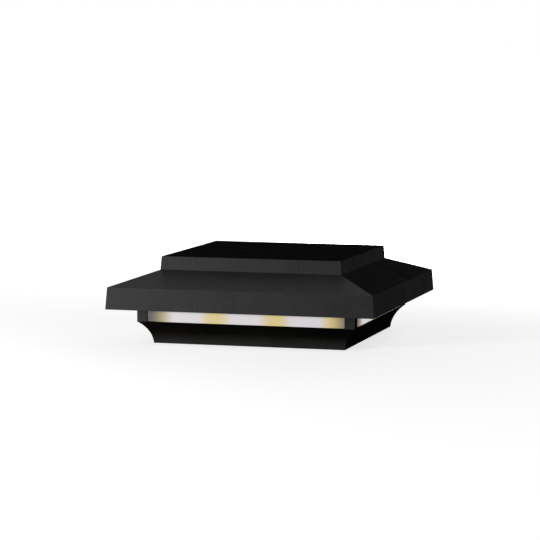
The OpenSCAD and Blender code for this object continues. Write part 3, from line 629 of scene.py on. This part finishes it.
def corner_screws(name, new_name, sizes, turn):
    """Four screws at the corners of the rectangle that a CAD node's heads span, all head up or head down."""
    low, high, middle = span(name)
    head_r, head_h = sizes[2:4]
    reach = (high - low) / 2 - head_r
    bearing_z = high[2] - head_h if turn is HEAD_UP else low[2] + head_h
    one = screw(*sizes)
    piece(new_name, [put(one, (*(middle + reach * (x, y, 0))[:2], bearing_z), turn) for x, y in CORNERS],
          STEEL, [name])


corner_screws("cap_screws", "cap_screws_threaded", CAP_SCREW, UPRIGHT)
corner_screws("deck_screws", "deck_screws_threaded", DECK_SCREW, HEAD_UP)
corner_screws("driver_screws", "driver_screws_threaded", DRIVER_SCREW, HEAD_UP)
board_screw = screw(*BOARD_SCREW)
piece("board_screws_threaded",
      [on_side(put(board_screw, (x, -BOARD_FACE, WINDOW_MID), INWARD), side)
       for side in range(4) for x in (-BOARD_SCREW_AT, BOARD_SCREW_AT)],
      STEEL, ["board_screws"])


# ---- LED boards --------------------------------------------------------------------------

def at_board(grid, side, x):
    """A grid stood on the face of a side's LED board, at a distance from the board's middle."""
    return on_side(put(grid, (x, -BOARD_FACE, WINDOW_MID), OUTWARD), side)


# The package's walls and rim, then down into its cup, which the phosphor fills with a low dome
led_body = lofted([(1.6, 1.25, 0.1, 0), (1.75, 1.4, 0.15, 0.12), (1.75, 1.4, 0.15, 1.16),
                   (1.68, 1.33, 0.14, LED_T), (1.2, 1.2, 1.2, LED_T), (1.12, 1.12, 1.12, 1.14),
                   (1.0, 1.0, 1.0, 1.02)])
led_fill = revolved([(1.06, 0.9), (1.13, 1.06), (1.06, 1.12), (0.8, 1.165), (0.4, 1.19)], 28)
# Solder climbs the ends of a package and of a chip resistor in a hollow slope
led_end = lofted([(0.2, 1.1, 0.1, 0), (0.34, 1.2, 0.2, 0.04), (0.24, 1.12, 0.14, 0.16),
                  (0.12, 1.0, 0.08, 0.42)], 4)
chip_body = lofted([(0.95, 0.58, 0.06, 0.08), (1.0, 0.62, 0.08, 0.14), (1.0, 0.62, 0.08, 0.5),
                    (0.94, 0.56, 0.08, 0.56)], 4)
chip_end = lofted([(0.2, 0.66, 0.1, 0), (0.36, 0.74, 0.2, 0.05), (0.3, 0.68, 0.16, 0.2),
                   (0.17, 0.6, 0.08, 0.55)], 4)
CHIP_END_AT, LED_END_AT = 1.05, 1.86
LED_AT = (-LED_PITCH, 0, LED_PITCH)
RESISTOR_AT = (-LED_PITCH / 2, LED_PITCH / 2)
for number, side_name in enumerate(SIDES):
    piece(f"led_packages_{side_name}", [at_board(led_body, number, x) for x in LED_AT], PACKAGE,
          [f"leds_{side_name}"])
    piece(f"led_phosphor_{side_name}", [at_board(led_fill, number, x) for x in LED_AT], PHOSPHOR)
    piece(f"board_resistors_{side_name}", [at_board(chip_body, number, x) for x in RESISTOR_AT], RESISTOR)
    piece(f"board_solder_{side_name}",
          [at_board(chip_end, number, x + end * CHIP_END_AT) for x in RESISTOR_AT for end in (-1, 1)]
          + [at_board(led_end, number, x + end * LED_END_AT) for x in LED_AT for end in (-1, 1)],
          SOLDER)


# ---- wires -------------------------------------------------------------------------------

def jumper_path(z):
    """Straight on from the front board's right end, a quarter turn round the corner, on to the next."""
    start, bend_at = WIRE_LOW[0], BOARD_HALF
    bend = arc((bend_at, -bend_at, z), WIRE_AT - bend_at, -90, 0, 18, (0, 1))
    return np.concatenate([[(start, -WIRE_AT, z), (bend_at - 1, -WIRE_AT, z)], bend,
                           [(WIRE_AT, 1 - bend_at, z), (WIRE_AT, -start, z)]])


def feed_path(x):
    """Back from the driver board, over the deck's edge on an elbow of 4 mm, down to the rear board."""
    bend_r, top_z = 4, FEED_HIGH[2] - WIRE_R
    elbow = arc((x, WIRE_AT - bend_r, top_z - bend_r), bend_r, 90, 0, 12, (1, 2))
    return np.concatenate([[(x, FEED_LOW[1], top_z), (x, FEED_LOW[1] + bend_r, top_z)], elbow,
                           [(x, WIRE_AT, top_z - 3 * bend_r), (x, WIRE_AT, FEED_LOW[2])]])


jumper = [carried(circle(WIRE_R), jumper_path(z), (0, 0, 1))
          for z in (WIRE_LOW[2] + WIRE_R, WIRE_HIGH[2] - WIRE_R)]
# The chain of boards is open at the rear left corner
for number, name in enumerate(("jumper_front_right", "jumper_right_rear", None, "jumper_left_front")):
    if name:
        piece(f"{name}_insulated", [on_side(wire, number) for wire in jumper], PVC, [name])
piece("feed_wires_insulated", [carried(circle(WIRE_R), feed_path(x), (1, 0, 0)) for x in FEED_AT],
      PVC, ["feed_wires"])


# ---- driver ------------------------------------------------------------------------------

def at_driver(grid, middle, x=0.0, y=0.0):
    """A grid stood on the driver board's face, at an offset from the middle of something there."""
    return put(grid, (middle[0] + x, middle[1] + y, DRIVER_TOP))


CAPACITORS, INDUCTOR, RECTIFIER, CHIP, TERMINAL = (
    span(name)[2] for name in ("capacitors", "inductor", "bridge_rectifier", "driver_chip", "terminal_block"))

# A can's foot, its beaded groove, its wall, and the rolled edge round its sunk top
CANS_AT = (-4.5, 4.5)
can = revolved([(3.3, 0), (3.7, 0.1), (3.95, 0.5), (3.98, 0.9), (3.7, 1.15), (3.6, 1.35), (3.7, 1.55),
                (3.98, 1.85), (4.0, 2.2), (4.0, 5), (4.0, 7.2), (3.93, 7.6), (3.75, 7.88), (3.5, 8.0),
                (3.42, 7.96), (3.38, 7.8), (2.0, 7.8), (0.5, 7.8)])
piece("capacitors_sleeved", [at_driver(can, CAPACITORS, x) for x in CANS_AT], SLEEVE,
      ["capacitors"])

# Two flanges with the winding between them: a helix of 5.2 turns that climbs 2.3 mm
WIND_R, WIND_FOOT, WIND_RISE, WINDINGS = 4.53, 1.6, 2.3, 5.2
drum = revolved([(4.6, 0), (5.0, 0.2), (5.0, 1.1), (4.9, 1.3), (4.35, 1.38), (4.3, 1.5), (4.3, 4.0),
                 (4.35, 4.12), (4.9, 4.2), (5.0, 4.4), (5.0, 5.3), (4.8, 5.5), (1.2, 5.5), (1.0, 5.4),
                 (0.9, 5.0)])
turns = np.linspace(0, WINDINGS * TURN, 270)
coil = np.stack([WIND_R * np.cos(turns), WIND_R * np.sin(turns), WIND_FOOT + WIND_RISE * turns / turns[-1]],
                -1)
piece("inductor_core", [at_driver(drum, INDUCTOR)], FERRITE, ["inductor"])
piece("inductor_winding", [at_driver(carried(circle(0.22, 8), coil, (0, 0, 1)), INDUCTOR)], ENAMEL)


def legs(width, rise, count, pitch, leg_w):
    """Bent legs on both long sides: a flat strip that leaves the body, turns down and ends in a foot."""
    strip = np.array([(-0.1, -leg_w / 2), (0.1, -leg_w / 2), (0.1, leg_w / 2), (-0.1, leg_w / 2)])
    y = width / 2 + np.array([-0.1, 0.16, 0.28, 0.34, 0.38, 0.42, 0.5, 0.64, 0.88])
    z = np.array([rise, rise, rise - 0.04, rise - 0.16, 0.5 * rise + 0.1, 0.34, 0.18, 0.11, 0.1])
    paths = [np.stack([(i - (count - 1) / 2) * pitch + 0 * y, end * y, z], -1)
             for i in range(count) for end in (-1, 1)]
    return [carried(strip, path, (1, 0, 0)) for path in paths]


def moulded_body(length, width, height):
    """A moulded block, stood off the board, with a draft above and below its parting line and eased edges."""
    x, y, stand = length / 2, width / 2, 0.2
    mid, top = stand + height / 2, stand + height
    return lofted([(x - 0.28, y - 0.24, 0.12, stand), (x - 0.16, y - 0.14, 0.16, stand + 0.08),
                   (x, y, 0.16, mid - 0.04), (x, y, 0.16, mid + 0.04),
                   (x - 0.14, y - 0.12, 0.18, top - 0.1), (x - 0.26, y - 0.24, 0.14, top)])


piece("bridge_rectifier_body", [at_driver(moulded_body(8.4, 6.4, 3.2), RECTIFIER)], EPOXY,
      ["bridge_rectifier"])
piece("driver_chip_body", [at_driver(moulded_body(4.9, 3.9, 1.5), CHIP)], EPOXY,
      ["driver_chip"])
piece("package_legs",
      [at_driver(leg, RECTIFIER) for leg in legs(6.4, 1.4, 2, 5, 1.0)]
      + [at_driver(leg, CHIP) for leg in legs(3.9, 0.9, 4, 1.27, 0.5)],
      TIN)

# Terminals: a square clamp in each mouth, under the slotted screw that drives it
POLES = (-2.5, 2.5)
CLAMP_UP, CLAMP_FORWARD, SEAT_UP = 2.3, 0.6, 0.95
outer, inner, depth = 1.42, 1.12, 2.4
clamp = np.concatenate([lofted([(outer, outer, 0.3, 0), (outer, outer, 0.3, depth)])[1:-1],
                        lofted([(inner, inner, 0.2, depth), (inner, inner, 0.2, 0)])[1:-1]])
piece("terminal_clamps",
      [put(clamp, (x, TERMINAL[1] - CLAMP_FORWARD, DRIVER_TOP + CLAMP_UP), OUTWARD) for x in POLES],
      TIN, looped=True)
terminal_screw = screw(*TERMINAL_SCREW, arms=2)
seat_z = span("terminal_screws")[0][2] + SEAT_UP
piece("terminal_screws_slotted", [put(terminal_screw, (x, TERMINAL[1], seat_z), HEAD_UP) for x in POLES],
      BRASS, ["terminal_screws"])

# Small parts on the driver board, from its middle; the rectifier's pads and the feed wires' joints
DRIVER_RESISTORS = ((-22, 4), (-22, 7), (-22, 10), (16, 7.5), (16, 10.5), (20.5, 9), (2.2, 3.5), (-6.5, 2.5))
VIAS = ((-26, -8), (-24, -1), (-9.5, 5.5), (-8.5, -11), (-7, 13), (4.5, 5), (5, -6), (12.5, 4.5), (14, 13),
        (21.5, 5), (24, -6), (25.5, 3), (24.5, -11), (13, -8.5), (-20.5, 13.5))
RECTIFIER_PAD_AT, FEED_JOINT_BACK = (2.5, 4.0), 0.9
piece("driver_resistors", [at_driver(chip_body, DRIVER_MID, x, y) for x, y in DRIVER_RESISTORS], RESISTOR)
joint = revolved([(0.9, 0.0), (0.95, 0.04), (0.7, 0.2), (0.4, 0.5), (0.28, 0.62), (0.1, 0.66)], 20)
via = revolved([(0.42, 0.0), (0.42, 0.04), (0.24, 0.05), (0.2, 0.01)], 16)
pad = lofted([(0.44, 0.52, 0.12, 0), (0.5, 0.58, 0.2, 0.03), (0.42, 0.5, 0.2, 0.1),
              (0.2, 0.25, 0.15, 0.13)], 4)
piece("driver_solder",
      [at_driver(chip_end, DRIVER_MID, x + end * CHIP_END_AT, y)
       for x, y in DRIVER_RESISTORS for end in (-1, 1)]
      + [at_driver(pad, RECTIFIER, *corner) for corner in CORNERS * RECTIFIER_PAD_AT]
      + [put(joint, (x, FEED_LOW[1] - FEED_JOINT_BACK, DRIVER_TOP)) for x in FEED_AT]
      + [at_driver(via, DRIVER_MID, x, y) for x, y in VIAS],
      SOLDER)

# Flange, groove for the plate, upper flange, and the bore that the lead passes
grommet = revolved([(3.2, 0.5), (3.35, 0.15), (3.7, 0), (8.0, 0), (8.45, 0.15), (8.6, 0.5), (8.6, 1.4),
                    (8.4, 1.72), (8.1, 1.8), (6.7, 1.8), (6.4, 1.95), (6.4, 4.05), (6.7, 4.2), (8.1, 4.2),
                    (8.45, 4.35), (8.6, 4.7), (8.5, 5.35), (8.1, 5.75), (7.4, 5.96), (6.2, 6.0),
                    (3.9, 6.0), (3.4, 5.85), (3.2, 5.5)], 56, close=False)
piece("lead_grommet_moulded", [put(grommet, (0, 0, span("lead_grommet")[0][2]))], RUBBER,
      ["lead_grommet"], looped=True)


# ---- stage, lamps and camera -------------------------------------------------------------

def daylight(tree, lit, seen):
    """Mixes what lights the object with what the lens, a gloss or a clear body sees."""
    rays = add(tree, "LightPath", out=slice(None))
    camera_ray, glossy, clear = (next(ray for ray in rays if ray.name == f"Is {kind} Ray")
                                 for kind in ("Camera", "Glossy", "Transmission"))
    view = add(tree, "Math", {0: camera_ray, 1: glossy}, operation="MAXIMUM")
    view = add(tree, "Math", {0: view, 1: clear}, operation="MAXIMUM")
    return add(tree, "MixShader", {"Fac": view, 1: lit, 2: seen})


def floor():
    """Pale floor, 28 m square and just under the lip: white where the lens sees it, with the object's soft
    shadow, and dark in bounced light, so that it doesn't lift the black coat."""
    half, z = 14.0, -0.1 * MM
    mesh = bpy.data.meshes.new("floor")
    mesh.from_pydata([(x * half, y * half, z) for x, y in CORNERS], [], [(0, 1, 2, 3)])
    made = bpy.data.materials.new("pale_floor")
    made.use_nodes = True
    tree = made.node_tree
    tree.nodes.clear()
    place = add(tree, "TexCoord", out="Object")
    away = add(tree, "VectorMath", {0: place}, "Value", operation="LENGTH")
    level = add(tree, "MapRange",
                {"Value": away, "From Min": 0.1, "From Max": 0.7, "To Min": 0.72, "To Max": 1.0})
    pale = add(tree, "BsdfDiffuse", {"Color": "#e6e6e6"})
    glow = add(tree, "Emission", {"Color": "#ffffff", "Strength": level})
    seen = add(tree, "AddShader", {0: pale, 1: glow})
    bounce = add(tree, "BsdfDiffuse", {"Color": "#181818"})
    add(tree, "OutputMaterial", {"Surface": daylight(tree, bounce, seen)})
    mesh.materials.append(made)
    sheet = bpy.data.objects.new("floor", mesh)
    bpy.context.scene.collection.objects.link(sheet)


def surround(fill):
    """Plain white surround, seen at strength 1; it lights the object with the given fill."""
    world = bpy.data.worlds.new("surround")
    bpy.context.scene.world = world
    world.use_nodes = True
    tree = world.node_tree
    tree.nodes.clear()
    lit = add(tree, "Background", {"Color": "#ffffff", "Strength": fill})
    seen = add(tree, "Background", {"Color": "#ffffff", "Strength": 1.0})
    add(tree, "OutputWorld", {"Surface": daylight(tree, lit, seen)})


def lamp(name, at, width, height, power):
    """A white soft box of the given size in metres and power in watts, aimed at the post cap's middle."""
    data = bpy.data.lights.new(name, "AREA")
    data.shape, data.size, data.size_y, data.energy = "RECTANGLE", width, height, power
    made = bpy.data.objects.new(name, data)
    bpy.context.scene.collection.objects.link(made)
    aim = Vector((0, 0, 0.03))
    made.location = at
    made.rotation_euler = (aim - Vector(at)).to_track_quat("-Z", "Y").to_euler()


def camera():
    """The photograph's view: a lens of 162 mm on a 36 mm frame, 1.4 m away, turned 15.9 degrees to the left
    and tipped 5.75 degrees down. The axes are right, up and back."""
    yaw, pitch, roll = (math.radians(a) for a in (15.897, 5.751, 0.104))
    ahead = np.array([-math.sin(yaw) * math.cos(pitch), math.cos(yaw) * math.cos(pitch), -math.sin(pitch)])
    right = np.array([math.cos(yaw), math.sin(yaw), 0.0])
    up = np.cross(right, ahead)
    turned = [math.cos(roll) * right + math.sin(roll) * up, math.cos(roll) * up - math.sin(roll) * right,
              -ahead]
    at = np.array([384.138, -1360.573, 180.344]) * MM
    data = bpy.data.cameras.new("camera")
    data.lens, data.sensor_width = 162.05, 36.0
    data.clip_start, data.clip_end = 0.01, 100.0
    made = bpy.data.objects.new("camera", data)
    bpy.context.scene.collection.objects.link(made)
    matrix = np.eye(4)
    matrix[:3] = np.column_stack([*turned, at])
    made.matrix_world = Matrix(matrix.tolist())
    bpy.context.scene.camera = made


floor()
surround(0.05)
# Low soft boxes before, behind and at the right, so that the upright walls are lit and the flats stay black
lamp("key", (-0.35, -0.45, 0.06), 0.22, 0.1, 3.15)
lamp("rear", (0.03, 0.6, 0.07), 0.35, 0.12, 2.6)
lamp("right", (0.6, 0.05, 0.06), 0.3, 0.1, 0.9)
camera()
bpy.context.scene.view_settings.view_transform = "Standard"
